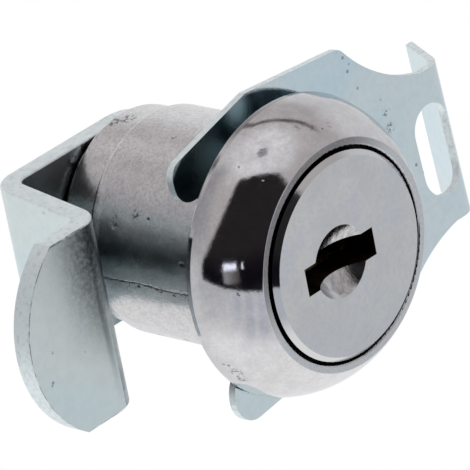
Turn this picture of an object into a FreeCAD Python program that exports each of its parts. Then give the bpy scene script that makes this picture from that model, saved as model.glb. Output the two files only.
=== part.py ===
"""Mailbox lock: a wafer cam lock held in a sheet-metal door by a forked spring plate.

Millimetres. The lock's axis is Y and its key face looks towards -Y. X runs along the key slot, the
cam's tongue points to -X at rest and the fixing clip is pushed on from +X. Z is up.
The origin is on the axis, in the plane of the head's back face, which bears on the door.
"""
import FreeCAD, Part
import math
import os
import Sketcher

# Driving sizes, in groups, each with the name of its cell and its value
SIZES = [
    # Head: a domed ring in front of the door
    ("head_radius", 11.9),
    ("head_depth", 5.5),
    ("head_rim", 0.5),
    ("dome_radius", 8.4),
    ("lip_radius", 9.2),
    ("lip_rounding", 0.15),
    # Plug's face, which stands a little out of a counterbore of the head
    ("face_radius", 8.25),
    ("face_gap", 0.3),
    ("face_thickness", 1.7),
    ("face_stand", 0.45),
    ("face_bevel", 0.4),
    # Barrel behind the door, with the clip's ring groove and a smaller rear section
    ("barrel_radius", 9.1),
    ("barrel_length", 13.0),
    ("land_length", 0.25),
    ("groove_play", 0.09),
    ("groove_radius", 6.9),
    ("neck_radius", 8.6),
    ("neck_length", 3.3),
    ("barrel_rounding", 0.35),
    # Plug's core and its running clearances
    ("plug_radius", 5.75),
    ("running_gap", 0.05),
    ("axial_gap", 0.1),
    # Key slot, and the round dimple that leads the key into it
    ("key_slot_length", 7.9),
    ("key_slot_height", 2.3),
    ("key_slot_shift", -1.0),
    ("key_depth", 17.0),
    ("dimple_radius", 2.9),
    ("dimple_depth", 1.35),
    # Wafers, sprung towards +X, in slots across the core
    ("wafer_count", 7),
    ("wafer_pitch", 2.1),
    ("wafer_start", 3.8),
    ("wafer_thickness", 0.9),
    ("wafer_width", 6.0),
    ("wafer_inset", 0.05),
    ("wafer_travel", 0.6),
    ("wafer_gap", 0.05),
    ("channel_gap", 0.1),
    ("window_length", 8.4),
    ("window_height", 2.9),
    ("code_step", 0.3),
    # The lug on each wafer's upper side, and the coil spring behind it
    ("lug_place", 0.5),
    ("lug_length", 1.0),
    ("lug_height", 1.6),
    ("lug_gap", 0.1),
    ("spring_length", 2.96),
    ("spring_radius", 0.62),
    ("spring_wire", 0.22),
    ("spring_turns", 4),
    ("spring_gap", 0.08),
    # Stop washer in the housing's rear recess
    ("stop_radius", 6.4),
    ("stop_thickness", 1.2),
    ("stop_gap", 0.1),
    ("stop_lug_radius", 7.4),
    ("stop_lug_angle", 30.0),
    ("stop_lug_play", 1.0),
    ("turn_angle", 90.0),
    # Square tail of the plug, and the screw in it
    ("tail_width", 6.0),
    ("tail_gap", 0.05),
    ("tail_recess", 0.1),
    ("screw_radius", 1.95),
    ("screw_hole_radius", 2.0),
    ("screw_length", 6.0),
    ("screw_hole_extra", 0.6),
    ("screw_head_width", 7.0),
    ("screw_head_height", 2.8),
    ("screw_head_bevel", 0.45),
    ("screw_tip_bevel", 0.4),
    # Toothed lock washer
    ("tooth_washer_hole", 2.15),
    ("tooth_washer_radius", 4.0),
    ("tooth_washer_thickness", 0.5),
    ("tooth_count", 12),
    ("tooth_notch_width", 0.8),
    ("tooth_notch_depth", 0.8),
    # Cranked cam: back plate, jog towards the door, tongue
    ("cam_thickness", 1.7),
    ("cam_width", 15.8),
    ("cam_clearance", 0.2),
    ("cam_hub_rounding", 7.8),
    ("jog_distance", 12.3),
    ("jog_forward", 11.1),
    ("jog_lean", 11.5),
    ("tongue_reach", 23.7),
    ("tongue_arc_rise", 4.2),
    ("bend_inner", 1.0),
    ("cam_edge_rounding", 0.15),
    # Forked fixing clip. It sits loose in the groove, with its lower prong forward
    ("clip_thickness", 0.65),
    ("clip_tilt", 4.15),
    ("clip_gap", 0.15),
    ("upper_prong_reach", 9.4),
    ("upper_tip_height", 10.3),
    ("upper_tip_rounding", 1.4),
    ("upper_mouth_rounding", 1.6),
    ("upper_arm_height", 12.55),
    ("upper_horn_height", 11.65),
    ("lower_prong_reach", 8.8),
    ("lower_tip_height", 12.05),
    ("lower_tip_rounding", 1.95),
    ("lower_mouth_rounding", 2.8),
    ("lower_arm_height", 11.0),
    ("lower_horn_height", 11.5),
    ("horn_place", 10.7),
    ("horn_rounding", 1.2),
    ("waist_radius", 13.5),
    ("clip_reach", 18.8),
    ("upper_end_height", 6.1),
    ("lower_end_height", 6.75),
    ("grip_slot_place", 18.6),
    ("grip_slot_drop", 0.43),
    ("grip_slot_length", 7.7),
    ("grip_slot_width", 4.25),
    ("flange_length", 5.6),
    ("flange_lean", 3.05),
    ("flange_bend_inner", 1.5),
]

# How many code steps each wafer's window is moved, front wafer first
WAFER_CODES = (1, 3, 0, 2, 1, 3, 2)

SEGMENTS_PER_TURN = 4


doc = FreeCAD.newDocument("mailbox_lock")
sheet = doc.addObject("Spreadsheet::Sheet", "sizes")
for row, (name, number) in enumerate(SIZES, start=1):
    sheet.set("A%d" % row, name)
    sheet.set("B%d" % row, str(number))
    sheet.setAlias("B%d" % row, name)
doc.recompute()


def value(expression):
    """The number that an expression on the sheet's cells gives now."""
    return float(sheet.evalExpression(expression))


def size(name):
    """The number in a named cell."""
    return float(getattr(sheet, name))


# Places along the axis and radii that follow from the driving sizes
LIP_Y = "(-sizes.head_depth)"
FACE_Y = "(-sizes.head_depth - sizes.face_stand)"
FACE_BACK_Y = "(-sizes.head_depth - sizes.face_stand + sizes.face_thickness)"
REAR_Y = "(sizes.barrel_length + sizes.neck_length)"
CAM_Y = "(sizes.barrel_length + sizes.neck_length + sizes.cam_clearance)"
SHOULDER_Y = "(sizes.barrel_length + sizes.neck_length + sizes.cam_clearance - sizes.stop_thickness)"
RECESS_Y = "(%s - sizes.axial_gap)" % SHOULDER_Y
CAM_BACK_Y = "(%s + sizes.cam_thickness)" % CAM_Y
TAIL_Y = "(%s - sizes.tail_recess)" % CAM_BACK_Y
SCREW_HEAD_Y = "(%s + sizes.tooth_washer_thickness)" % CAM_BACK_Y
COUNTERBORE_RADIUS = "(sizes.face_radius + sizes.face_gap)"
BORE_RADIUS = "(sizes.plug_radius + sizes.running_gap)"
WAFER_RADIUS = "(sizes.plug_radius - sizes.wafer_inset)"
WAFER_START_Y = "(%s + sizes.wafer_start)" % FACE_Y
WAFER_SLOT = "(sizes.wafer_thickness + 2 * sizes.wafer_gap)"
KEY_LEFT = "(sizes.key_slot_shift - sizes.key_slot_length / 2)"
KEY_RIGHT = "(sizes.key_slot_shift + sizes.key_slot_length / 2)"
CHANNEL_RADIUS = "(sizes.plug_radius - sizes.wafer_inset + sizes.wafer_travel + sizes.channel_gap)"
CHANNEL_HALF = "(sizes.wafer_width / 2 + sizes.channel_gap)"
LUG_TOP = "(sizes.wafer_width / 2 + sizes.lug_height)"
SPRING_Z = "(sizes.wafer_width / 2 + sizes.lug_height / 2)"
# The groove is wide enough for the tilted clip, which stands out of it at the barrel's radius
TILT_RISE = "(sizes.barrel_radius * tan(sizes.clip_tilt))"
CLIP_Y = "(sizes.land_length + sizes.groove_play + %s)" % TILT_RISE
GROOVE_BACK_Y = "(%s + sizes.clip_thickness / cos(sizes.clip_tilt) + %s + sizes.groove_play)" % (
    CLIP_Y,
    TILT_RISE,
)


def plane(body, role):
    """One of a body's own origin planes or axes."""
    for feature in body.Origin.OriginFeatures:
        if feature.Role == role:
            return feature
    raise ValueError(role)


def new_body(name):
    body = doc.addObject("PartDesign::Body", name)
    body.Label = name
    return body


def new_sketch(body, name, role="XZ_Plane", along=None):
    """A sketch on an origin plane. `along` is its place on the third axis."""
    sketch = body.newObject("Sketcher::SketchObject", name)
    sketch.AttachmentSupport = [(plane(body, role), "")]
    sketch.MapMode = "FlatFace"
    if along is not None:
        # The XZ plane's normal is -Y, and the others' are +X and +Z
        sign = "-" if role == "XZ_Plane" else ""
        sketch.setExpression("AttachmentOffset.Base.z", "%s(%s)" % (sign, along))
    return sketch


def bind(sketch, constraint, expression):
    index = sketch.addConstraint(constraint)
    sketch.setExpression("Constraints[%d]" % index, expression)


def arc_between(start, end, radius, left):
    """The small arc from start to end whose bulge lies left (or right) of the way."""
    chord = end - start
    side = FreeCAD.Vector(-chord.y, chord.x, 0).normalize() * (1 if left else -1)
    rise = math.sqrt(max(radius ** 2 - (chord.Length / 2) ** 2, 0))
    centre = (start + end) * 0.5 - side * rise
    # Sketched arcs run anticlockwise, so one that bulges left is drawn from its end
    first, last = (end, start) if left else (start, end)
    low = math.atan2(first.y - centre.y, first.x - centre.x)
    high = math.atan2(last.y - centre.y, last.x - centre.x)
    if high < low:
        high += 2 * math.pi
    return Part.ArcOfCircle(Part.Circle(centre, FreeCAD.Vector(0, 0, 1), radius), low, high)


def outline(sketch, points, arcs=None):
    """A closed outline through points given as pairs of expressions.

    arcs says which stretch is an arc: the number of its first point gives (radius, bulges left).
    """
    arcs = arcs or {}
    places = [FreeCAD.Vector(value(x), value(y), 0) for x, y in points]
    count = len(points)
    edges = []
    for i, start in enumerate(places):
        end = places[(i + 1) % count]
        if i in arcs:
            radius, left = arcs[i]
            number = sketch.addGeometry(arc_between(start, end, value(radius), left), False)
            first, last = (2, 1) if left else (1, 2)
            bind(sketch, Sketcher.Constraint("Radius", number, value(radius)), radius)
        else:
            number = sketch.addGeometry(Part.LineSegment(start, end), False)
            first, last = 1, 2
        edges.append((number, first, last))
    for i in range(count):
        number, first, last = edges[i]
        after, after_first, after_last = edges[(i + 1) % count]
        sketch.addConstraint(Sketcher.Constraint("Coincident", number, last, after, after_first))
    for (x, y), place, (number, first, last) in zip(points, places, edges):
        bind(sketch, Sketcher.Constraint("DistanceX", -1, 1, number, first, place.x), x)
        bind(sketch, Sketcher.Constraint("DistanceY", -1, 1, number, first, place.y), y)
    return edges


def circle(sketch, radius, x="0", y="0"):
    """A circle with its centre at a pair of expressions."""
    centre = FreeCAD.Vector(value(x), value(y), 0)
    piece = Part.Circle(centre, FreeCAD.Vector(0, 0, 1), value(radius))
    number = sketch.addGeometry(piece, False)
    bind(sketch, Sketcher.Constraint("Radius", number, value(radius)), radius)
    bind(sketch, Sketcher.Constraint("DistanceX", -1, 1, number, 3, centre.x), x)
    bind(sketch, Sketcher.Constraint("DistanceY", -1, 1, number, 3, centre.y), y)


def rectangle(sketch, left, bottom, right, top):
    outline(sketch, [(left, bottom), (right, bottom), (right, top), (left, top)])


def sector(sketch, radius, low, high):
    """A pie slice about the origin, between two angles in degrees that are less than 180 apart."""
    points = [
        ("0", "0"),
        ("(%s) * cos(%s)" % (radius, low), "(%s) * sin(%s)" % (radius, low)),
        ("(%s) * cos(%s)" % (radius, high), "(%s) * sin(%s)" % (radius, high)),
    ]
    outline(sketch, points, {1: (radius, False)})


def volume(body):
    doc.recompute()
    return body.Shape.Volume if not body.Shape.isNull() else 0.0


def settle(body, before, adds, name):
    """Stops with a message if a feature did not add or remove material."""
    change = volume(body) - before
    if (change <= 1e-6) if adds else (change >= -1e-6):
        raise RuntimeError("%s in %s changed nothing: %g" % (name, body.Label, change))


def pad(body, sketch, length, name, backwards=False, symmetric=False):
    """Pads along the sketch's normal. On the XZ plane that is towards the key face (-Y)."""
    before = volume(body)
    feature = body.newObject("PartDesign::Pad", name)
    feature.Profile = sketch
    feature.setExpression("Length", length)
    feature.Reversed = backwards
    feature.SideType = "Symmetric" if symmetric else "One side"
    settle(body, before, True, name)
    return feature


def pocket(body, sketch, name, length=None, backwards=False, symmetric=False):
    """Cuts against the sketch's normal. On the XZ plane that is away from the key face (+Y)."""
    before = volume(body)
    feature = body.newObject("PartDesign::Pocket", name)
    feature.Profile = sketch
    if length is None:
        feature.Type = "ThroughAll"
    else:
        feature.setExpression("Length", length)
    feature.Reversed = backwards
    feature.SideType = "Symmetric" if symmetric else "One side"
    settle(body, before, False, name)
    return feature


def turned(body, sketch, name, cuts=False):
    """A full revolution, or a groove, about the lock's axis (the sketch's vertical axis)."""
    before = volume(body)
    kind = "PartDesign::Groove" if cuts else "PartDesign::Revolution"
    feature = body.newObject(kind, name)
    feature.Profile = sketch
    feature.ReferenceAxis = (sketch, ["V_Axis"])
    feature.Angle = 360
    settle(body, before, not cuts, name)
    return feature


def row_of(body, originals, name, count, pitch):
    """Repeats cuts along the lock's axis."""
    before = volume(body)
    feature = body.newObject("PartDesign::LinearPattern", name)
    feature.Originals = originals
    feature.Direction = (plane(body, "Y_Axis"), [""])
    feature.Mode = "Extent"
    feature.setExpression("Occurrences", count)
    feature.setExpression("Length", "(%s - 1) * %s" % (count, pitch))
    body.Tip = feature
    settle(body, before, False, name)
    return feature


def round_edges(body, name, radius, wanted):
    """Fillets every edge of the body for which wanted(edge) is true."""
    doc.recompute()
    base = body.Tip
    names = ["Edge%d" % (i + 1) for i, edge in enumerate(base.Shape.Edges) if wanted(edge)]
    if not names:
        raise RuntimeError("no edge for %s in %s" % (name, body.Label))
    feature = body.newObject("PartDesign::Fillet", name)
    feature.Base = (base, names)
    feature.setExpression("Radius", radius)
    doc.recompute()
    if "Invalid" in feature.State or not feature.Shape.isValid():
        raise RuntimeError("%s in %s failed" % (name, body.Label))
    return feature


def near(a, b, slack=1e-4):
    return abs(a - b) < slack


def straight_along(edge, axis):
    """True for a straight edge parallel to the axis "x", "y" or "z"."""
    if not isinstance(edge.Curve, (Part.Line, Part.LineSegment)):
        return False
    run = edge.Vertexes[-1].Point - edge.Vertexes[0].Point
    return all(near(getattr(run, other), 0) for other in "xyz" if other != axis)


def ring_at(edge, radius, y):
    """True for a circle about the lock's axis."""
    curve = edge.Curve
    if not isinstance(curve, Part.Circle):
        return False
    centre = curve.Center
    return near(curve.Radius, radius) and near(centre.x, 0) and near(centre.z, 0) and near(centre.y, y)


def lies_at(edge, axis, place):
    """True where both of an edge's ends have this coordinate."""
    return all(near(getattr(vertex.Point, axis), place) for vertex in edge.Vertexes)


def make_housing():
    """The cast barrel and its domed head, in one casting."""
    body = new_body("housing")
    sketch = new_sketch(body, "housing_profile", "XY_Plane")
    counterbore_floor = FACE_BACK_Y + " + sizes.axial_gap"
    recess_radius = "sizes.stop_radius + sizes.stop_gap"
    outline(
        sketch,
        [
            (COUNTERBORE_RADIUS, LIP_Y),
            ("sizes.lip_radius", LIP_Y),
            ("sizes.head_radius", "-sizes.head_rim"),
            ("sizes.head_radius", "0"),
            ("sizes.barrel_radius", "0"),
            ("sizes.barrel_radius", "sizes.land_length"),
            ("sizes.groove_radius", "sizes.land_length"),
            ("sizes.groove_radius", GROOVE_BACK_Y),
            ("sizes.barrel_radius", GROOVE_BACK_Y),
            ("sizes.barrel_radius", "sizes.barrel_length"),
            ("sizes.neck_radius", "sizes.barrel_length"),
            ("sizes.neck_radius", REAR_Y),
            (recess_radius, REAR_Y),
            (recess_radius, RECESS_Y),
            (BORE_RADIUS, RECESS_Y),
            (BORE_RADIUS, counterbore_floor),
            (COUNTERBORE_RADIUS, counterbore_floor),
        ],
        {1: ("sizes.dome_radius", False)},
    )
    turned(body, sketch, "housing_turning")

    # Two channels in the bore, for the wafers' ends with the cam shut (+X) and open (-Z)
    sketch = new_sketch(body, "channel_section", "XZ_Plane", WAFER_START_Y + " - sizes.wafer_pitch / 2")
    outline(
        sketch,
        [
            ("-" + CHANNEL_HALF, "-" + CHANNEL_RADIUS),
            (CHANNEL_HALF, "-" + CHANNEL_RADIUS),
            (CHANNEL_HALF, "-" + CHANNEL_HALF),
            (CHANNEL_RADIUS, "-" + CHANNEL_HALF),
            (CHANNEL_RADIUS, CHANNEL_HALF),
            ("-" + CHANNEL_HALF, CHANNEL_HALF),
        ],
    )
    pocket(body, sketch, "wafer_channels")

    # The stop washer's lug sweeps a quarter turn in this wider part of the recess
    sketch = new_sketch(body, "stop_section", "XZ_Plane", RECESS_Y)
    spare = "(sizes.stop_lug_angle / 2 + sizes.stop_lug_play)"
    sector(
        sketch,
        "sizes.stop_lug_radius + sizes.stop_gap",
        "-sizes.turn_angle - " + spare,
        spare,
    )
    pocket(body, sketch, "stop_sector")

    round_edges(body, "lip_edges", "sizes.lip_rounding", lambda edge: (
        ring_at(edge, size("lip_radius"), value(LIP_Y))
        or ring_at(edge, value(COUNTERBORE_RADIUS), value(LIP_Y))
        or ring_at(edge, size("head_radius"), 0)
    ))
    round_edges(body, "barrel_edges", "sizes.barrel_rounding", lambda edge: (
        ring_at(edge, size("barrel_radius"), size("barrel_length"))
        or ring_at(edge, size("neck_radius"), value(REAR_Y))
    ))
    return body


def make_plug():
    """The turning core: face disc, slotted core and square tail."""
    body = new_body("plug")
    sketch = new_sketch(body, "plug_profile", "XY_Plane")
    outline(
        sketch,
        [
            ("0", FACE_Y),
            ("sizes.face_radius - sizes.face_bevel", FACE_Y),
            ("sizes.face_radius", FACE_Y + " + sizes.face_bevel"),
            ("sizes.face_radius", FACE_BACK_Y),
            ("sizes.plug_radius", FACE_BACK_Y),
            ("sizes.plug_radius", SHOULDER_Y),
            ("0", SHOULDER_Y),
        ],
    )
    turned(body, sketch, "plug_turning")

    half = "sizes.tail_width / 2"
    sketch = new_sketch(body, "tail_section", "XZ_Plane", SHOULDER_Y)
    rectangle(sketch, "-" + half, "-" + half, half, half)
    pad(body, sketch, "%s - %s" % (TAIL_Y, SHOULDER_Y), "tail", backwards=True)

    # Screw hole up the tail
    sketch = new_sketch(body, "screw_hole_section", "XZ_Plane", TAIL_Y)
    circle(sketch, "sizes.screw_hole_radius")
    depth = "sizes.screw_length + sizes.screw_hole_extra - sizes.tooth_washer_thickness - sizes.tail_recess"
    pocket(body, sketch, "screw_hole", depth, backwards=True)

    # Round dimple, a shallow part of a ball, about the key slot
    before = volume(body)
    ball = "(sizes.dimple_radius ^ 2 + sizes.dimple_depth ^ 2) / (2 * sizes.dimple_depth)"
    dimple = body.newObject("PartDesign::SubtractiveSphere", "dimple")
    dimple.setExpression("Radius", ball)
    dimple.AttachmentSupport = [(plane(body, "XY_Plane"), "")]
    dimple.MapMode = "FlatFace"
    dimple.setExpression("AttachmentOffset.Base.x", "sizes.key_slot_shift")
    dimple.setExpression("AttachmentOffset.Base.y", "%s + sizes.dimple_depth - (%s)" % (FACE_Y, ball))
    settle(body, before, False, "dimple")

    # Key slot
    sketch = new_sketch(body, "key_slot_section", "XZ_Plane", FACE_Y)
    half = "sizes.key_slot_height / 2"
    rectangle(sketch, KEY_LEFT, "-" + half, KEY_RIGHT, half)
    pocket(body, sketch, "key_slot", "sizes.key_depth")

    # Slots across the core for the wafers, then the room for their lugs, then the spring holes
    slot_front = "%s - %s / 2" % (WAFER_START_Y, WAFER_SLOT)
    slot_back = "%s + %s / 2" % (WAFER_START_Y, WAFER_SLOT)
    sketch = new_sketch(body, "wafer_slot_plan", "XY_Plane")
    rectangle(sketch, "-sizes.face_radius", slot_front, "sizes.face_radius", slot_back)
    slot = pocket(body, sketch, "wafer_slot", "sizes.wafer_width + 2 * sizes.wafer_gap", symmetric=True)
    sketch = new_sketch(body, "lug_room_plan", "XY_Plane")
    rectangle(
        sketch,
        "sizes.lug_place - sizes.lug_gap",
        slot_front,
        "sizes.lug_place + sizes.lug_length + sizes.wafer_travel + sizes.lug_gap",
        slot_back,
    )
    lug_room = pocket(body, sketch, "lug_room", LUG_TOP + " + sizes.lug_gap", backwards=True)
    sketch = new_sketch(body, "spring_hole_section", "YZ_Plane", "sizes.lug_place")
    circle(sketch, "sizes.spring_radius + sizes.spring_gap", WAFER_START_Y, SPRING_Z)
    spring_hole = pocket(body, sketch, "spring_hole", "sizes.spring_length + sizes.spring_gap")
    row_of(
        body,
        [slot, lug_room, spring_hole],
        "wafer_row",
        "sizes.wafer_count",
        "sizes.wafer_pitch",
    )
    return body


def wafer_place(number):
    """The middle of a wafer along the axis, as an expression. The front wafer is number 1."""
    return "(%s + %d * sizes.wafer_pitch)" % (WAFER_START_Y, number - 1)


def make_wafer(number):
    """A flat brass wafer with its key window and its spring lug."""
    body = new_body("wafer_%d" % number)
    half = "sizes.wafer_width / 2"
    end = "sqrt(%s ^ 2 - (%s) ^ 2)" % (WAFER_RADIUS, half)
    lug_end = "sizes.lug_place + sizes.lug_length"
    front = "%s - sizes.wafer_thickness / 2" % wafer_place(number)
    sketch = new_sketch(body, "wafer_outline_%d" % number, "XZ_Plane", front)
    outline(
        sketch,
        [
            ("-" + end, "-" + half),
            (end, "-" + half),
            (end, half),
            (lug_end, half),
            (lug_end, LUG_TOP),
            ("sizes.lug_place", LUG_TOP),
            ("sizes.lug_place", half),
            ("-" + end, half),
        ],
        {1: (WAFER_RADIUS, False), 7: (WAFER_RADIUS, False)},
    )
    pad(body, sketch, "sizes.wafer_thickness", "wafer_plate_%d" % number, backwards=True)
    left = "%s + %d * sizes.code_step" % (KEY_LEFT, WAFER_CODES[(number - 1) % len(WAFER_CODES)])
    half = "sizes.window_height / 2"
    sketch = new_sketch(body, "window_outline_%d" % number, "XZ_Plane", front)
    rectangle(sketch, left, "-" + half, left + " + sizes.window_length", half)
    pocket(body, sketch, "window_%d" % number)
    return body


def helix_point(angle, radius, pitch):
    """A point of a coil about +X that starts at the origin, and its direction there."""
    place = FreeCAD.Vector(pitch * angle / (2 * math.pi), radius * math.cos(angle), radius * math.sin(angle))
    way = FreeCAD.Vector(pitch / (2 * math.pi), -radius * math.sin(angle), radius * math.cos(angle))
    return place, way.normalize()


def arc_from(start, way, end):
    """The arc that leaves start along way and ends at end."""
    chord = end - start
    if way.cross(chord).Length < 1e-9:
        return Part.LineSegment(start, end)
    side = (way.cross(chord).cross(way)).normalize()
    radius = chord.Length ** 2 / (2 * chord.dot(side))
    centre = start + side * radius
    middle = (start + end) * 0.5 - centre
    return Part.Arc(start, centre + middle.normalize() * radius, end)


def biarc(start, way_in, end, way_out):
    """Two arcs that join smoothly, from start along way_in to end along way_out."""
    chord = end - start
    sum_of_ways = way_in + way_out
    bend = 2 * (1 - way_in.dot(way_out))
    along = chord.dot(sum_of_ways)
    reach = (-along + math.sqrt(along ** 2 + bend * chord.Length ** 2)) / bend
    joint = (start + end + (way_in - way_out) * reach) * 0.5
    way_at_joint = (joint - start - way_in * reach).normalize()
    return arc_from(start, way_in, joint), arc_from(joint, way_at_joint, end)


def coil_shape(length, radius, wire, turns):
    """A round-wire coil along +X, as one pipe on smooth arcs, and the least gap between its turns."""
    middle_radius = radius - wire / 2
    pitch = (length - wire) / turns
    stretches = int(round(turns * SEGMENTS_PER_TURN))
    edges = []
    for i in range(stretches):
        start, way_in = helix_point(2 * math.pi * turns * i / stretches, middle_radius, pitch)
        end, way_out = helix_point(2 * math.pi * turns * (i + 1) / stretches, middle_radius, pitch)
        edges.extend(arc.toShape() for arc in biarc(start, way_in, end, way_out))
    path = Part.Wire(edges)
    start, way = helix_point(0, middle_radius, pitch)
    section = Part.Wire(Part.Circle(start, way, wire / 2).toShape())
    coil = path.makePipeShell([section], True, False)
    coil.translate(FreeCAD.Vector(wire / 2, 0, 0))
    per_turn = 2 * SEGMENTS_PER_TURN
    marks = path.discretize(per_turn * int(round(turns)) * 2 + 1)
    gap = min(
        (a - b).Length
        for i, a in enumerate(marks)
        for b in marks[i + per_turn:]
    )
    return coil, gap - wire


def make_springs():
    """One coil spring behind each wafer's lug, all alike."""
    coil, gap = coil_shape(
        size("spring_length") - 2 * size("wafer_gap"),
        size("spring_radius"),
        size("spring_wire"),
        size("spring_turns"),
    )
    print("least gap between a spring's turns: %.2f mm" % gap)
    springs = []
    left = size("lug_place") - size("spring_length")
    for number in range(1, int(size("wafer_count")) + 1):
        spring = doc.addObject("Part::Feature", "wafer_spring_%d" % number)
        spring.Label = "wafer_spring_%d" % number
        spring.Shape = coil
        spring.Placement = FreeCAD.Placement(
            FreeCAD.Vector(left + size("wafer_gap"), value(wafer_place(number)), value(SPRING_Z)),
            FreeCAD.Rotation(),
        )
        springs.append(spring)
    return springs


def make_stop_washer():
    """A washer on the square tail. It is wider than the bore, and its lug ends the turn."""
    body = new_body("stop_washer")
    sketch = new_sketch(body, "stop_disc_outline", "XZ_Plane", SHOULDER_Y)
    circle(sketch, "sizes.stop_radius")
    pad(body, sketch, "sizes.stop_thickness", "stop_disc", backwards=True)
    sketch = new_sketch(body, "stop_lug_outline", "XZ_Plane", SHOULDER_Y)
    sector(sketch, "sizes.stop_lug_radius", "-sizes.stop_lug_angle / 2", "sizes.stop_lug_angle / 2")
    pad(body, sketch, "sizes.stop_thickness", "stop_lug", backwards=True)
    sketch = new_sketch(body, "stop_hole_outline", "XZ_Plane", SHOULDER_Y)
    half = "(sizes.tail_width / 2 + sizes.tail_gap)"
    rectangle(sketch, "-" + half, "-" + half, half, half)
    pocket(body, sketch, "stop_hole")
    return body


def make_cam():
    """The cranked cam, bent from one flat strip."""
    body = new_body("cam")
    half_sheet = "sizes.cam_thickness / 2"
    # Middles of the back plate and the tongue along the axis, and of the jog where it meets them
    plate_y = "(%s + %s)" % (CAM_Y, half_sheet)
    tongue_y = "(%s - sizes.jog_forward)" % plate_y
    jog_far = "(-sizes.jog_distance - sizes.jog_forward * tan(sizes.jog_lean))"
    slope = "tan(sizes.jog_lean)"
    across = "(%s / cos(sizes.jog_lean))" % half_sheet

    def jog_x(side, y):
        """Where the jog's face on one side (+1 towards the barrel) crosses a place on the axis."""
        return "-sizes.jog_distance + (%s - %s) * %s %s %s" % (y, plate_y, slope, side, across)

    plate_front = "(%s - %s)" % (plate_y, half_sheet)
    plate_back = "(%s + %s)" % (plate_y, half_sheet)
    tongue_front = "(%s - %s)" % (tongue_y, half_sheet)
    tongue_back = "(%s + %s)" % (tongue_y, half_sheet)
    hub_end = "sizes.cam_width / 2"
    sketch = new_sketch(body, "cam_profile", "XY_Plane")
    outline(
        sketch,
        [
            (hub_end, plate_front),
            (hub_end, plate_back),
            (jog_x("-", plate_back), plate_back),
            (jog_x("-", tongue_back), tongue_back),
            ("-sizes.tongue_reach - %s" % half_sheet, tongue_back),
            ("-sizes.tongue_reach - %s" % half_sheet, tongue_front),
            (jog_x("+", tongue_front), tongue_front),
            (jog_x("+", plate_front), plate_front),
        ],
    )
    pad(body, sketch, "sizes.cam_width", "cam_strip", symmetric=True)

    outer_bends = (
        (value(jog_x("-", plate_back)), value(plate_back)),
        (value(jog_x("+", tongue_front)), value(tongue_front)),
    )
    inner_bends = (
        (value(jog_x("+", plate_front)), value(plate_front)),
        (value(jog_x("-", tongue_back)), value(tongue_back)),
    )

    def at_bend(edge, bends):
        if not straight_along(edge, "z"):
            return False
        return any(lies_at(edge, "x", x) and lies_at(edge, "y", y) for x, y in bends)

    round_edges(body, "inner_bends", "sizes.bend_inner", lambda edge: at_bend(edge, inner_bends))
    round_edges(
        body,
        "outer_bends",
        "sizes.bend_inner + sizes.cam_thickness",
        lambda edge: at_bend(edge, outer_bends),
    )
    round_edges(body, "hub_end", "sizes.cam_hub_rounding", lambda edge: (
        straight_along(edge, "y") and lies_at(edge, "x", size("cam_width") / 2)
    ))
    round_edges(body, "cam_edges", "sizes.cam_edge_rounding", lambda edge: (
        straight_along(edge, "x") and lies_at(edge, "z", size("cam_width") / 2)
    ))

    # The tongue's end is one wide arc from corner to corner
    sketch = new_sketch(body, "tongue_end_outline", "XZ_Plane", tongue_front)
    side = "sizes.cam_width / 2"
    corner = "-sizes.tongue_reach + sizes.tongue_arc_rise"
    beyond = "-sizes.tongue_reach - sizes.cam_thickness"
    arc = "((sizes.tongue_arc_rise ^ 2 + (%s) ^ 2) / (2 * sizes.tongue_arc_rise))" % side
    outline(
        sketch,
        [(corner, "-" + side), (corner, side), (beyond, side), (beyond, "-" + side)],
        {0: (arc, True)},
    )
    pocket(body, sketch, "tongue_end")

    sketch = new_sketch(body, "cam_hole_outline", "XZ_Plane", CAM_Y + " - sizes.cam_thickness")
    half = "(sizes.tail_width / 2 + sizes.tail_gap)"
    rectangle(sketch, "-" + half, "-" + half, half, half)
    pocket(body, sketch, "cam_hole")
    return body


def make_lock_washer():
    """A washer with teeth around its rim, under the screw's head."""
    body = new_body("lock_washer")
    sketch = new_sketch(body, "tooth_washer_outline", "XZ_Plane", CAM_BACK_Y)
    circle(sketch, "sizes.tooth_washer_radius")
    circle(sketch, "sizes.tooth_washer_hole")
    pad(body, sketch, "sizes.tooth_washer_thickness", "tooth_washer_ring", backwards=True)
    sketch = new_sketch(body, "tooth_notch_outline", "XZ_Plane", CAM_BACK_Y)
    half = "sizes.tooth_notch_width / 2"
    rectangle(
        sketch,
        "sizes.tooth_washer_radius - sizes.tooth_notch_depth",
        "-" + half,
        "sizes.tooth_washer_radius + sizes.tooth_notch_depth",
        half,
    )
    notch = pocket(body, sketch, "tooth_notch")
    before = volume(body)
    teeth = body.newObject("PartDesign::PolarPattern", "teeth")
    teeth.Originals = [notch]
    teeth.Axis = (plane(body, "Y_Axis"), [""])
    teeth.Angle = 360
    teeth.setExpression("Occurrences", "sizes.tooth_count")
    body.Tip = teeth
    settle(body, before, False, "teeth")
    return body


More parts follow.
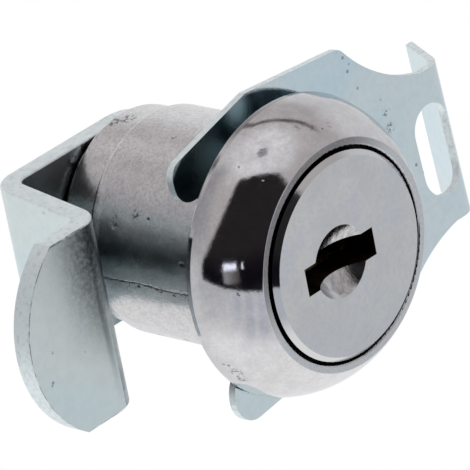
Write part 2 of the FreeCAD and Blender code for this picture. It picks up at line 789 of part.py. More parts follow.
def make_cam_screw():
    """A hexagon-head screw that holds the cam on the plug's tail."""
    body = new_body("cam_screw")
    sketch = new_sketch(body, "screw_profile", "XY_Plane")
    head_radius = "sizes.screw_head_width / 2"
    tip_y = "(%s - sizes.screw_length)" % SCREW_HEAD_Y
    outline(
        sketch,
        [
            ("0", tip_y),
            ("sizes.screw_radius - sizes.screw_tip_bevel", tip_y),
            ("sizes.screw_radius", tip_y + " + sizes.screw_tip_bevel"),
            ("sizes.screw_radius", SCREW_HEAD_Y),
            (head_radius, SCREW_HEAD_Y),
            (head_radius, SCREW_HEAD_Y + " + sizes.screw_head_bevel"),
            ("0", SCREW_HEAD_Y + " + sizes.screw_head_bevel"),
        ],
    )
    turned(body, sketch, "screw_turning")
    sketch = new_sketch(body, "head_outline", "XZ_Plane", SCREW_HEAD_Y)
    corner = "sizes.screw_head_width / 2 / cos(30)"
    corners = [
        ("%s * cos(%d)" % (corner, 60 * i + 30), "%s * sin(%d)" % (corner, 60 * i + 30))
        for i in range(6)
    ]
    outline(sketch, corners)
    pad(body, sketch, "sizes.screw_head_height", "screw_head", backwards=True)

    # The head's corners are turned off at 30 degrees on the outer side
    top = "(%s + sizes.screw_head_height)" % SCREW_HEAD_Y
    wide = "sizes.screw_head_width"
    sketch = new_sketch(body, "head_bevel_profile", "XY_Plane")
    outline(
        sketch,
        [
            ("%s / 2 - sizes.screw_head_bevel / 2" % wide, top),
            (wide, "%s - (%s / 2 + sizes.screw_head_bevel / 2) * tan(30)" % (top, wide)),
            (wide, top),
        ],
    )
    turned(body, sketch, "head_bevel", cuts=True)
    return body


def make_fixing_clip():
    """The forked plate that is pushed into the barrel's groove behind the door.

    It is drawn with its front face at Y = 0, and then the whole piece is put in its place.
    """
    body = new_body("fixing_clip")
    fork = "(sizes.groove_radius + sizes.clip_gap)"
    sketch = new_sketch(body, "clip_outline", "XZ_Plane")
    outline(
        sketch,
        [
            ("sizes.clip_reach", "sizes.upper_end_height"),
            ("sizes.horn_place", "sizes.upper_horn_height"),
            ("0", "sizes.upper_arm_height"),
            ("-sizes.upper_prong_reach", "sizes.upper_tip_height"),
            ("-sizes.upper_prong_reach", fork),
            ("0", fork),
            (fork, "0"),
            ("0", "-" + fork),
            ("-sizes.lower_prong_reach", "-" + fork),
            ("-sizes.lower_prong_reach", "-sizes.lower_tip_height"),
            ("0", "-sizes.lower_arm_height"),
            ("sizes.horn_place", "-sizes.lower_horn_height"),
            ("sizes.clip_reach", "-sizes.lower_end_height"),
        ],
        {
            0: ("sizes.waist_radius", True),
            5: (fork, True),
            6: (fork, True),
            11: ("sizes.waist_radius", True),
        },
    )
    pad(body, sketch, "sizes.clip_thickness", "clip_plate", backwards=True)

    # Grip flange, bent back from the plate's far end and leaning outwards
    lean = "(sizes.flange_lean / sizes.flange_length)"
    sheet_across = "(sizes.clip_thickness * sqrt(1 + %s ^ 2))" % lean
    bend_outer = "sizes.flange_bend_inner + sizes.clip_thickness"
    corner = "(sizes.clip_reach + %s)" % bend_outer
    inner_corner = "(%s + %s * sizes.clip_thickness - %s)" % (corner, lean, sheet_across)
    end_middle = "((sizes.upper_end_height - sizes.lower_end_height) / 2)"
    sketch = new_sketch(body, "flange_profile", "XY_Plane", end_middle)
    outline(
        sketch,
        [
            ("sizes.clip_reach - sizes.clip_thickness", "0"),
            (corner, "0"),
            (corner + " + sizes.flange_lean", "sizes.flange_length"),
            ("%s + sizes.flange_lean - %s" % (corner, sheet_across), "sizes.flange_length"),
            (inner_corner, "sizes.clip_thickness"),
            ("sizes.clip_reach - sizes.clip_thickness", "sizes.clip_thickness"),
        ],
    )
    end_width = "sizes.upper_end_height + sizes.lower_end_height"
    pad(body, sketch, end_width, "grip_flange", symmetric=True)

    def corner_of(edge, x, z):
        return straight_along(edge, "y") and lies_at(edge, "x", x) and lies_at(edge, "z", z)

    def bend_at(edge, x, y):
        return straight_along(edge, "z") and lies_at(edge, "x", x) and lies_at(edge, "y", y)

    for side, sign in (("upper", 1), ("lower", -1)):
        reach = -size(side + "_prong_reach")
        tip = sign * size(side + "_tip_height")
        mouth = sign * value(fork)
        horn = sign * size(side + "_horn_height")
        round_edges(body, side + "_tip", "sizes.%s_tip_rounding" % side, lambda edge: (
            corner_of(edge, reach, tip)
        ))
        round_edges(body, side + "_mouth", "sizes.%s_mouth_rounding" % side, lambda edge: (
            corner_of(edge, reach, mouth)
        ))
        round_edges(body, side + "_horn", "sizes.horn_rounding", lambda edge: (
            corner_of(edge, size("horn_place"), horn)
        ))
    round_edges(body, "flange_inner_bend", "sizes.flange_bend_inner", lambda edge: (
        bend_at(edge, value(inner_corner), size("clip_thickness"))
    ))
    round_edges(body, "flange_outer_bend", bend_outer, lambda edge: (
        bend_at(edge, value(corner), 0)
    ))

    # Oblong slot beside the flange
    sketch = new_sketch(body, "grip_slot_outline", "XZ_Plane", "-sizes.clip_thickness")
    half = "sizes.grip_slot_width / 2"
    straight = "(sizes.grip_slot_length / 2 - sizes.grip_slot_width / 2)"
    middle = "sizes.grip_slot_place"
    drop = "-sizes.grip_slot_drop"
    outline(
        sketch,
        [
            ("%s + %s" % (middle, half), "%s - %s" % (drop, straight)),
            ("%s + %s" % (middle, half), "%s + %s" % (drop, straight)),
            (middle, drop + " + sizes.grip_slot_length / 2"),
            ("%s - %s" % (middle, half), "%s + %s" % (drop, straight)),
            ("%s - %s" % (middle, half), "%s - %s" % (drop, straight)),
            (middle, drop + " - sizes.grip_slot_length / 2"),
        ],
        {1: (half, False), 2: (half, False), 4: (half, False), 5: (half, False)},
    )
    pocket(body, sketch, "grip_slot")

    body.Placement = FreeCAD.Placement(
        FreeCAD.Vector(0, value(CLIP_Y), 0),
        FreeCAD.Rotation(FreeCAD.Vector(-1, 0, 0), size("clip_tilt")),
    )
    body.setExpression("Placement.Base.y", CLIP_Y)
    body.setExpression("Placement.Rotation.Angle", "sizes.clip_tilt")
    doc.recompute()
    return body


def build_all():
    pieces = [make_housing(), make_plug()]
    pieces += [make_wafer(number) for number in range(1, int(size("wafer_count")) + 1)]
    pieces += make_springs()
    pieces += [make_stop_washer(), make_cam(), make_lock_washer(), make_cam_screw(), make_fixing_clip()]
    doc.recompute()
    return pieces


def check_all(pieces):
    """Stops before anything is written if the document or a piece is not sound."""
    for item in doc.Objects:
        if "Invalid" in item.State or "Error" in item.State:
            raise RuntimeError("%s failed: %s" % (item.Name, item.State))
    for piece in pieces:
        shape = piece.Shape
        if shape.isNull() or not shape.isValid() or len(shape.Solids) != 1:
            raise RuntimeError("%s is not one sound solid" % piece.Label)


pieces = build_all()
check_all(pieces)
os.makedirs("parts", exist_ok=True)
for piece in pieces:
    piece.Shape.exportStep("parts/%s.step" % piece.Label)
    print("%-16s %9.2f mm3" % (piece.Label, piece.Shape.Volume))
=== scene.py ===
import math

import bpy
from mathutils import Matrix, Vector


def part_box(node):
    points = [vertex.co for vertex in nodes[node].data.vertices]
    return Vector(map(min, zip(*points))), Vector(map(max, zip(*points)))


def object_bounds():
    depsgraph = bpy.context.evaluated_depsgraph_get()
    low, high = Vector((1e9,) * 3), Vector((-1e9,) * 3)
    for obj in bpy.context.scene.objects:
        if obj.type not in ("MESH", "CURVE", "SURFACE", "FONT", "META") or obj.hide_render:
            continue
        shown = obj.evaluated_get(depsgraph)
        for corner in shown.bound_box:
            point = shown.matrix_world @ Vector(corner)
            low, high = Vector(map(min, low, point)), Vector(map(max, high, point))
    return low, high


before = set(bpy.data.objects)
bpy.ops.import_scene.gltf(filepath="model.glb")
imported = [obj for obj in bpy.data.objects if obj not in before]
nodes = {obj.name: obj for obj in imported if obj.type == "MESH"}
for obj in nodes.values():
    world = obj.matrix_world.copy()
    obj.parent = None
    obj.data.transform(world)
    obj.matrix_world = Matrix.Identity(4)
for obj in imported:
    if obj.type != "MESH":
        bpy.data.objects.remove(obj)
cad_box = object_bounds()


def mm(length):
    """A length in millimetres, in the scene's metres."""
    return length * 0.001


# Node helpers

# Sockets of a colour mix node
MIX_SHARE, MIX_FIRST, MIX_SECOND, MIX_RESULT = 0, 6, 7, 2


class Tree:
    """Short ways to add the nodes of one material or world."""

    def __init__(self, owner):
        owner.use_nodes = True
        self.tree = owner.node_tree
        self.tree.nodes.clear()

    def add(self, kind, **settings):
        node = self.tree.nodes.new(kind)
        for name, value in settings.items():
            setattr(node, name, value)
        return node

    def join(self, source, target):
        self.tree.links.new(source, target)

    def put(self, socket, value):
        """Sets a socket to a number or a colour, or links it to another node's output."""
        if hasattr(value, "is_output"):
            self.join(value, socket)
        elif isinstance(value, tuple):
            size = len(socket.default_value)
            socket.default_value = (value + (1.0,))[:size]
        else:
            socket.default_value = value

    def math(self, operation, first, second=0.0, third=0.0):
        node = self.add("ShaderNodeMath", operation=operation)
        for socket, value in zip(node.inputs, (first, second, third)):
            self.put(socket, value)
        return node.outputs[0]

    def times(self, first, second):
        return self.math("MULTIPLY", first, second)

    def plus(self, first, second):
        return self.math("ADD", first, second)

    def minus(self, first, second):
        return self.math("SUBTRACT", first, second)

    def larger(self, first, second):
        return self.math("MAXIMUM", first, second)

    def times_plus(self, first, factor, more):
        return self.math("MULTIPLY_ADD", first, factor, more)

    def between(self, value, low, high, new_low=0.0, new_high=1.0):
        """Eases from new_low at low to new_high at high."""
        node = self.add("ShaderNodeMapRange", interpolation_type="SMOOTHSTEP")
        for name, entry in (
            ("Value", value),
            ("From Min", low),
            ("From Max", high),
            ("To Min", new_low),
            ("To Max", new_high),
        ):
            self.put(node.inputs[name], entry)
        return node.outputs["Result"]

    def mix(self, share, first, second):
        node = self.add("ShaderNodeMix", data_type="RGBA")
        self.put(node.inputs[MIX_SHARE], share)
        self.put(node.inputs[MIX_FIRST], first)
        self.put(node.inputs[MIX_SECOND], second)
        return node.outputs[MIX_RESULT]

    def place(self):
        """The point in the row frame, in metres, that goes with the piece."""
        return self.add("ShaderNodeTexCoord").outputs["Object"]

    def parts(self, vector):
        """The vector's x, y and z."""
        node = self.add("ShaderNodeSeparateXYZ")
        self.join(vector, node.inputs[0])
        return node.outputs

    def vector(self, x, y, z):
        node = self.add("ShaderNodeCombineXYZ")
        for socket, value in zip(node.inputs, (x, y, z)):
            self.put(socket, value)
        return node.outputs[0]

    def scaled(self, vector, x, y, z):
        node = self.add("ShaderNodeVectorMath", operation="MULTIPLY")
        self.join(vector, node.inputs[0])
        node.inputs[1].default_value = (x, y, z)
        return node.outputs[0]

    def along(self, vector, direction):
        """How far the vector reaches along a direction."""
        node = self.add("ShaderNodeVectorMath", operation="DOT_PRODUCT")
        self.join(vector, node.inputs[0])
        node.inputs[1].default_value = direction
        return node.outputs["Value"]

    def noise(self, vector, scale, detail=2.0, roughness=0.5, distortion=0.0):
        node = self.add("ShaderNodeTexNoise")
        self.join(vector, node.inputs["Vector"])
        node.inputs["Scale"].default_value = scale
        node.inputs["Detail"].default_value = detail
        node.inputs["Roughness"].default_value = roughness
        node.inputs["Distortion"].default_value = distortion
        return node.outputs["Fac"]

    def cells(self, vector, scale):
        """The distance to the middle of the nearest of many scattered cells."""
        node = self.add("ShaderNodeTexVoronoi", feature="F1")
        self.join(vector, node.inputs["Vector"])
        node.inputs["Scale"].default_value = scale
        return node.outputs["Distance"]

    def bump(self, height, distance, before=None):
        node = self.add("ShaderNodeBump")
        self.join(height, node.inputs["Height"])
        node.inputs["Distance"].default_value = distance
        if before is not None:
            self.join(before, node.inputs["Normal"])
        return node.outputs[0]


def band(tree, value, low, high, soft):
    """1 where value lies between low and high, with soft edges."""
    rise = tree.between(value, low - soft, low + soft)
    return tree.times(rise, tree.between(value, high + soft, high - soft))


def all_of(tree, shares):
    """The product of the shares."""
    product = shares[0]
    for share in shares[1:]:
        product = tree.times(product, share)
    return product


def metal(name, build):
    """A metal whose colour, roughness and bump come from build(tree)."""
    made = bpy.data.materials.new(name)
    tree = Tree(made)
    shader = tree.add("ShaderNodeBsdfPrincipled")
    shader.inputs["Metallic"].default_value = 1.0
    output = tree.add("ShaderNodeOutputMaterial")
    tree.join(shader.outputs[0], output.inputs[0])
    colour, roughness, normal = build(tree)
    tree.put(shader.inputs["Base Color"], colour)
    tree.put(shader.inputs["Roughness"], roughness)
    tree.join(normal, shader.inputs["Normal"])
    return made


# Metals. A noise of scale 1000 has grains of about a millimetre.

# Each way that scratches run: its angle in radians, and a shift that keeps the ways apart
SCRATCH_WAYS = ((0.4, 0.0), (1.3, 3.1), (2.4, 7.7))
SCRATCHES_ALONG = 150
SCRATCHES_ACROSS = 6000
SCRATCHED_ALONG = 300
SCRATCHED_ACROSS = 900


def scratches(tree, place, rarity):
    """1 on thin straight scratches, which run in a few ways and lie in patches."""
    x, y, z = tree.parts(place)
    total = 0.0
    for turn, shift in SCRATCH_WAYS:
        along = tree.plus(tree.times(x, math.cos(turn)), tree.times(z, math.sin(turn)))
        across = tree.minus(tree.times(z, math.cos(turn)), tree.times(x, math.sin(turn)))
        stretched = tree.vector(
            tree.times(along, SCRATCHES_ALONG),
            tree.times_plus(across, SCRATCHES_ACROSS, shift),
            tree.times(y, SCRATCHES_ALONG),
        )
        patchy = tree.vector(
            tree.times_plus(along, SCRATCHED_ALONG, shift),
            tree.times(across, SCRATCHED_ACROSS),
            y,
        )
        lines = tree.between(tree.noise(stretched, scale=1, detail=1), 0.70, 0.76)
        patches = tree.between(tree.noise(patchy, scale=1, detail=1), rarity, rarity + 0.06)
        total = tree.larger(total, tree.times(lines, patches))
    return total


def nearness(tree, place, middle, radius, core=0.4):
    """1 near a point, 0 beyond the radius, both in millimetres. It fades outside the core."""
    node = tree.add("ShaderNodeVectorMath", operation="DISTANCE")
    tree.join(place, node.inputs[0])
    node.inputs[1].default_value = [mm(length) for length in middle]
    return tree.between(node.outputs["Value"], mm(radius) * core, mm(radius), 1.0, 0.0)


def marks(tree, place, spots, grain=4200):
    """1 on small broken marks. Each has its middle and its radius in millimetres."""
    total = 0.0
    for middle, radius in spots:
        total = tree.larger(total, nearness(tree, place, middle, radius))
    broken = tree.noise(place, grain, detail=2, roughness=0.6)
    return tree.times(total, tree.between(broken, 0.5, 0.56))


HEAD_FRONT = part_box("housing")[0].y
LIP_RADIUS = mm(9.2)
COUNTERBORE_RADIUS = mm(8.6)

# Marks and pits on the head, dark and reddish ones apart
HEAD_MARKS = (
    ((1.2, -4.5, 10.1), 0.3),
    ((-10.0, -1.7, -6.0), 0.7),
    ((-10.5, -1.3, -5.2), 0.5),
    ((-9.5, -1.6, -6.7), 0.6),
    ((-10.4, -4.0, 1.3), 0.25),
)
HEAD_RUST = (
    ((0.4, -4.1, 10.4), 0.5),
    ((2.0, -4.4, 9.9), 0.4),
    ((-0.6, -3.6, 10.8), 0.35),
)
HEAD_HAZY = (0.595, 0.585, 0.595)
HEAD_CLEAR = (0.675, 0.67, 0.68)
HEAD_GRAIN = (0.52, 0.505, 0.51)
HEAD_PIT = (0.12, 0.11, 0.11)
PINK_RUST = (0.40, 0.22, 0.22)
HEAD_EDGE_LINE = (0.17, 0.175, 0.185)
# Lighter and darker side of the lip: painted light and painted shade
LIP_PAINTED_LIGHT = (0.60, 0.615, 0.63)
LIP_PAINTED_SHADE = (0.225, 0.215, 0.225)
LIP_GRAIN = (0.40, 0.40, 0.41)
# Painted shade: black inside the counterbore
BORE_PAINTED_BLACK = (0.015, 0.014, 0.014)


def polished_chrome(tree):
    """Bright chrome on the turned head: a faint haze in patches, a few pin pits, and painted shade on
    the lip, darker at its upper left.
    """
    place = tree.place()
    x, y, z = tree.parts(place)
    haze = tree.noise(place, 900, detail=5, roughness=0.65)
    fine = tree.noise(place, 4200, detail=3, roughness=0.6)
    pits = tree.between(tree.cells(place, 900), 0.05, 0.11, 1.0, 0.0)
    pits = tree.times(pits, tree.between(tree.noise(place, 300, detail=1), 0.62, 0.7))
    pits = tree.larger(pits, marks(tree, place, HEAD_MARKS))
    colour = tree.mix(tree.between(haze, 0.35, 0.65), HEAD_HAZY, HEAD_CLEAR)
    colour = tree.mix(tree.between(fine, 0.4, 0.65, 0.0, 0.3), colour, HEAD_GRAIN)
    colour = tree.mix(tree.times(pits, 0.7), colour, HEAD_PIT)
    colour = tree.mix(tree.times(marks(tree, place, HEAD_RUST), 0.5), colour, PINK_RUST)

    # A darker line under the rim's upper right
    upper_right = tree.between(tree.plus(x, z), mm(3), mm(8))
    edge = tree.times(tree.between(y, mm(-0.65), mm(-0.45)), upper_right)
    colour = tree.mix(tree.times(edge, 0.65), colour, HEAD_EDGE_LINE)

    # The lip round the face: painted light and shade, darker at its upper left and lighter elsewhere,
    # with grain
    radius = tree.math("SQRT", tree.plus(tree.times(x, x), tree.times(z, z)))
    lip = tree.times(
        tree.between(radius, LIP_RADIUS + mm(0.02), LIP_RADIUS - mm(0.08)),
        tree.between(y, HEAD_FRONT + mm(1.0), HEAD_FRONT + mm(0.5)),
    )
    upper_left = tree.between(tree.minus(z, tree.times(x, 0.6)), mm(1), mm(8))
    lip_shading = tree.mix(upper_left, LIP_PAINTED_LIGHT, LIP_PAINTED_SHADE)
    lip_shading = tree.mix(tree.between(fine, 0.4, 0.65, 0.0, 0.3), lip_shading, LIP_GRAIN)
    colour = tree.mix(lip, colour, lip_shading)

    # The counterbore round the plug: its mouth takes the lip's colour, and painted shade makes it
    # black inside
    bore = tree.between(radius, COUNTERBORE_RADIUS, COUNTERBORE_RADIUS - mm(0.03))
    bore_shade = tree.times(bore, tree.between(y, HEAD_FRONT + mm(0.10), HEAD_FRONT + mm(0.27)))
    colour = tree.mix(bore_shade, colour, BORE_PAINTED_BLACK)

    roughness = tree.between(haze, 0.3, 0.7, 0.04, 0.1)
    roughness = tree.plus(roughness, tree.times(lip, 0.08))
    roughness = tree.plus(roughness, tree.times(bore_shade, 0.4))
    normal = tree.bump(fine, mm(0.0016))
    normal = tree.bump(haze, mm(0.006), before=normal)
    return colour, roughness, tree.bump(pits, mm(-0.02), before=normal)


BARREL_MARKS = (
    ((-1.35, 15.4, 8.5), 0.75),
    ((-0.6, 14.7, 8.6), 0.8),
    ((-2.6, 16.2, 8.2), 0.4),
    ((-7.8, 8.2, 4.65), 0.55),
    ((-7.9, 6.9, 4.6), 0.2),
    ((-2.3, 8.2, 8.8), 0.3),
    ((-8.2, 10.3, 3.9), 0.6),
)
BARREL_RUST = (((-3.2, 16.8, 7.9), 1.1), ((-5.2, 16.9, 6.8), 0.8))
PARTING_HEIGHT = mm(-0.66)
NECK_STEP = mm(12.75)
CAST_DARK = (0.64, 0.63, 0.64)
CAST_LIGHT = (0.74, 0.73, 0.73)
CAST_MOTTLE = (0.46, 0.45, 0.46)
CAST_GRAIN = (0.40, 0.395, 0.40)
CAST_PIT = (0.07, 0.07, 0.07)
STEP_SPOTS_AND_SHADE = (0.035, 0.033, 0.03)
# Speckled stain and painted shade at the neck's step
BROWN_RUST = (0.10, 0.045, 0.03)


def cast_chrome(tree):
    """Chrome over the unpolished casting of the barrel: pitted, hazy, with a parting line."""
    place = tree.place()
    x, y, z = tree.parts(place)
    wide = tree.noise(tree.scaled(place, 1, 0.5, 1), 260, detail=4, roughness=0.6)
    middle = tree.noise(tree.scaled(place, 1, 0.8, 1), 1300, detail=4, roughness=0.65)
    fine = tree.noise(place, 4500, detail=3, roughness=0.65)
    pits = tree.between(tree.cells(tree.scaled(place, 1, 0.7, 1), 620), 0.06, 0.2, 1.0, 0.0)
    pits = tree.times(pits, tree.between(tree.noise(place, 210), 0.56, 0.64))
    pits = tree.larger(pits, marks(tree, place, BARREL_MARKS, grain=3400))

    # Parting line: a broken step with pits along it, on the left flank
    wobble = tree.times_plus(tree.noise(place, 700, detail=3, roughness=0.6), mm(0.5), mm(-0.25))
    off = tree.plus(tree.minus(z, PARTING_HEIGHT), wobble)
    flank = tree.times(tree.between(x, mm(-7), mm(-8)), tree.between(y, mm(12.4), mm(11.8)))
    step = tree.times(tree.between(off, mm(-0.07), mm(0.07)), flank)
    line = tree.times(band(tree, off, mm(-0.05), mm(0.06), mm(0.04)), flank)
    line = tree.times(line, tree.between(tree.noise(place, 900), 0.4, 0.5, 0.15, 1.0))
    beside = tree.times(band(tree, off, mm(-0.3), mm(0.15), mm(0.12)), flank)
    beside = tree.times(beside, tree.between(tree.noise(place, 3000, roughness=0.6), 0.56, 0.6))
    pits = tree.larger(pits, tree.larger(line, beside))

    # A speckled stain and painted shade in the corner of the neck's step
    step_spots_and_shade = all_of(tree, [
        band(tree, y, NECK_STEP - mm(0.15), NECK_STEP + mm(0.45), mm(0.25)),
        tree.between(x, mm(-5.5), mm(-7)),
        band(tree, z, mm(0.5), mm(6.0), mm(1.0)),
        tree.between(middle, 0.4, 0.6, 0.45, 1.0),
    ])
    rust = marks(tree, place, BARREL_RUST, grain=1500)

    colour = tree.mix(wide, CAST_DARK, CAST_LIGHT)
    colour = tree.mix(tree.between(middle, 0.42, 0.62, 0.0, 0.28), colour, CAST_MOTTLE)
    colour = tree.mix(tree.between(fine, 0.45, 0.65, 0.0, 0.45), colour, CAST_GRAIN)
    colour = tree.mix(tree.times(pits, 0.8), colour, CAST_PIT)
    colour = tree.mix(tree.times(step_spots_and_shade, 0.85), colour, STEP_SPOTS_AND_SHADE)
    colour = tree.mix(tree.times(rust, 0.85), colour, BROWN_RUST)
    roughness = tree.between(wide, 0.3, 0.7, 0.16, 0.26)
    normal = tree.bump(fine, mm(0.009))
    normal = tree.bump(middle, mm(0.022), before=normal)
    normal = tree.bump(wide, mm(0.05), before=normal)
    normal = tree.bump(pits, mm(-0.05), before=normal)
    return colour, roughness, tree.bump(step, mm(-0.03), before=normal)


# Where painted light brightens the head's back
BACK_LIT_SPOTS = (((0.4, 0.0, 10.7), 2.0), ((-2.9, 0.0, 9.0), 1.2))
# Painted shade on the head's back, dark with a blue-green cast
BACK_SHADE_DARK = (0.06, 0.08, 0.09)
BACK_SHADE_PALE = (0.15, 0.20, 0.22)
BACK_LIT_COLOUR = (0.62, 0.80, 0.86)


def back_painted_shade_and_light(tree):
    """The head's back, which only mirrors show: unpolished, with painted shade in a dark blue-green
    cast and spots of painted light.
    """
    place = tree.place()
    wide = tree.noise(place, 420, detail=3, roughness=0.6)
    colour = tree.mix(tree.between(wide, 0.35, 0.65), BACK_SHADE_DARK, BACK_SHADE_PALE)
    for middle, radius in BACK_LIT_SPOTS:
        colour = tree.mix(nearness(tree, place, middle, radius), colour, BACK_LIT_COLOUR)
    return colour, tree.between(wide, 0.3, 0.7, 0.35, 0.5), tree.bump(wide, mm(0.03))


FACE_WARM = (0.60, 0.61, 0.625)
FACE_PALE = (0.665, 0.67, 0.665)
FACE_TINT = (0.60, 0.63, 0.685)
FACE_LOW_REFLECTION = (0.575, 0.615, 0.655)
FACE_GRAIN = (0.50, 0.505, 0.51)
FACE_SPECKLE = (0.56, 0.56, 0.56)
FACE_SCRATCH = (0.36, 0.36, 0.36)


def satin_nickel(tree):
    """The plug's face: satin plating with a very fine grain, cloudy tints, a few scratches and a
    painted bluish reflection towards the bottom.
    """
    place = tree.place()
    z = tree.parts(place)["Z"]
    wide = tree.noise(place, 300, detail=3, roughness=0.6)
    tint = tree.noise(tree.scaled(place, 1, 1, 1.6), 240, distortion=0.8)
    grain = tree.noise(place, 2200, detail=4, roughness=0.65, distortion=0.4)
    fine = tree.noise(place, 6500, roughness=0.6)
    scratch = scratches(tree, place, rarity=0.6)
    colour = tree.mix(tree.between(wide, 0.35, 0.65), FACE_WARM, FACE_PALE)
    colour = tree.mix(tree.between(tint, 0.48, 0.68, 0.0, 0.7), colour, FACE_TINT)
    # Painted reflection: the face turns bluer towards the bottom
    colour = tree.mix(tree.between(z, mm(-1), mm(-7), 0.0, 0.4), colour, FACE_LOW_REFLECTION)
    colour = tree.mix(tree.between(grain, 0.4, 0.65, 0.0, 0.25), colour, FACE_GRAIN)
    colour = tree.mix(tree.between(fine, 0.35, 0.65, 0.0, 0.22), colour, FACE_SPECKLE)
    colour = tree.mix(tree.times(scratch, 0.35), colour, FACE_SCRATCH)
    roughness = tree.between(wide, 0.3, 0.7, 0.2, 0.27)
    normal = tree.bump(fine, mm(0.0018))
    return colour, roughness, tree.bump(scratch, mm(-0.006), before=normal)


RIM_DARK = (0.575, 0.58, 0.585)
RIM_LIGHT = (0.645, 0.645, 0.65)


def bright_nickel(tree):
    """The plug's turned rim: shiny and slightly uneven."""
    place = tree.place()
    wide = tree.noise(place, 500, detail=3, roughness=0.6)
    fine = tree.noise(place, 3200, roughness=0.6)
    roughness = tree.between(wide, 0.3, 0.7, 0.07, 0.14)
    normal = tree.bump(fine, mm(0.003))
    return tree.mix(wide, RIM_DARK, RIM_LIGHT), roughness, tree.bump(wide, mm(0.02), before=normal)


STREAKS_ROUND = 1.6
STREAKS_DEEP = 500
DIMPLE_DARK = (0.40, 0.395, 0.40)
DIMPLE_LIGHT = (0.64, 0.63, 0.635)
DIMPLE_GRAIN = (0.34, 0.335, 0.34)


def pressed_nickel(tree):
    """The dimple round the key slot: streaky, unpolished plating with chatter marks."""
    place = tree.place()
    x, y, z = tree.parts(place)
    angle = tree.math("ARCTAN2", z, x)
    around = tree.vector(tree.times(angle, STREAKS_ROUND), tree.times(y, STREAKS_DEEP), 0.0)
    streaks = tree.noise(around, scale=2, detail=4, roughness=0.7)
    fine = tree.noise(place, 2600, detail=3, roughness=0.6)
    colour = tree.mix(tree.between(streaks, 0.38, 0.62), DIMPLE_DARK, DIMPLE_LIGHT)
    colour = tree.mix(tree.between(fine, 0.42, 0.65, 0.0, 0.35), colour, DIMPLE_GRAIN)
    roughness = tree.between(fine, 0.3, 0.7, 0.12, 0.24)
    normal = tree.bump(streaks, mm(0.05))
    return colour, roughness, tree.bump(fine, mm(0.006), before=normal)


# Painted shade deep in the key slot
SLOT_DARK = (0.035, 0.022, 0.012)
SLOT_BRASS = (0.13, 0.085, 0.04)


def shaded_slot(tree):
    """The key slot's walls: brass-coloured, turned near black by painted shade in the recess."""
    wide = tree.noise(tree.place(), 600, detail=3, roughness=0.6)
    colour = tree.mix(tree.between(wide, 0.35, 0.7), SLOT_DARK, SLOT_BRASS)
    return colour, tree.between(wide, 0.3, 0.7, 0.4, 0.55), tree.bump(wide, mm(0.02))


ZINC_TINT = (0.74, 0.76, 0.82)
ZINC_MOTTLE = (0.52, 0.60, 0.62)
ZINC_SPECK = (0.16, 0.17, 0.17)


def zinc(tree, bluish, pale, shiny, dull):
    """Bright zinc plating with blue-green drift, faint tints, fine mottling and small dark specks."""
    place = tree.place()
    wide = tree.noise(place, 90, detail=3, roughness=0.55, distortion=0.6)
    tint = tree.noise(tree.scaled(place, 1, 1, 0.6), 210, distortion=1.2)
    middle = tree.noise(place, 1400, detail=4, roughness=0.65)
    fine = tree.noise(place, 3600, detail=3, roughness=0.6)
    specks = tree.between(tree.cells(place, 800), 0.07, 0.16, 1.0, 0.0)
    specks = tree.times(specks, tree.between(tree.noise(place, 330, detail=1), 0.6, 0.66))
    colour = tree.mix(tree.between(wide, 0.35, 0.6), bluish, pale)
    colour = tree.mix(tree.between(tint, 0.55, 0.75, 0.0, 0.4), colour, ZINC_TINT)
    colour = tree.mix(tree.between(middle, 0.42, 0.62, 0.0, 0.16), colour, ZINC_MOTTLE)
    colour = tree.mix(tree.times(specks, 0.7), colour, ZINC_SPECK)
    roughness = tree.between(wide, 0.3, 0.7, shiny, dull)
    normal = tree.bump(fine, mm(0.003))
    return colour, roughness, tree.bump(wide, mm(0.035), before=normal)


# The bluish and the pale shade of each plated sheet
CAM_SHADES = ((0.66, 0.765, 0.785), (0.735, 0.80, 0.795))
CLIP_SHADES = ((0.61, 0.76, 0.83), (0.70, 0.80, 0.83))
CAM_BEND_DARK = (0.10, 0.12, 0.13)


def cam_zinc(tree):
    """The cam's plating, darker and mottled beside the tongue's bend."""
    colour, roughness, normal = zinc(tree, *CAM_SHADES, shiny=0.30, dull=0.40)
    place = tree.place()
    x, y, z = tree.parts(place)
    mottle = tree.noise(place, 2200, detail=4, roughness=0.75)
    bend_dark = all_of(tree, [
        tree.between(x, mm(-20.5), mm(-15.5)),
        tree.between(z, mm(-4), mm(6)),
        tree.between(y, mm(7.5), mm(6.5)),
        tree.between(mottle, 0.35, 0.6, 0.45, 1.0),
    ])
    return tree.mix(tree.times(bend_dark, 0.9), colour, CAM_BEND_DARK), roughness, normal


CAM_RUST = (((-4.0, 16.6, 7.6), 1.2), ((-5.6, 16.6, 6.8), 0.8))
# Painted shade on the cam's hollow side
CAM_INSIDE_SHADE = (0.18, 0.24, 0.26)


def cam_inside(tree):
    """The cam's hollow side by the barrel: the same plating under mottled painted shade, less at the
    top.
    """
    colour, roughness, normal = zinc(tree, *CAM_SHADES, shiny=0.2, dull=0.3)
    place = tree.place()
    z = tree.parts(place)["Z"]
    inside_shade = tree.between(tree.noise(place, 500, detail=4, roughness=0.7), 0.35, 0.65, 0.45, 0.8)
    inside_shade = tree.times(inside_shade, tree.between(z, mm(2.5), mm(6.5), 1.0, 0.55))
    colour = tree.mix(inside_shade, colour, CAM_INSIDE_SHADE)
    rust = marks(tree, place, CAM_RUST, grain=1500)
    return tree.mix(tree.times(rust, 0.8), colour, BROWN_RUST), roughness, normal


CLIP_MARKS = (
    ((13.9, 1.37, 4.8), 0.45),
    ((14.1, 1.27, 3.4), 0.6),
    ((13.8, 1.45, 5.9), 0.2),
)
# Hazy patches: the middle, the radius and how much rougher the plating is there
CLIP_HAZE = (
    ((-1.3, 1.85, 11.5), 2.3, 0.6),
    ((-5.1, 1.7, 9.2), 4.4, 0.36),
)
HAZE_TINT = (0.66, 0.92, 0.98)
HAZE_FALL = 1.6
CLIP_MARK = (0.12, 0.13, 0.14)


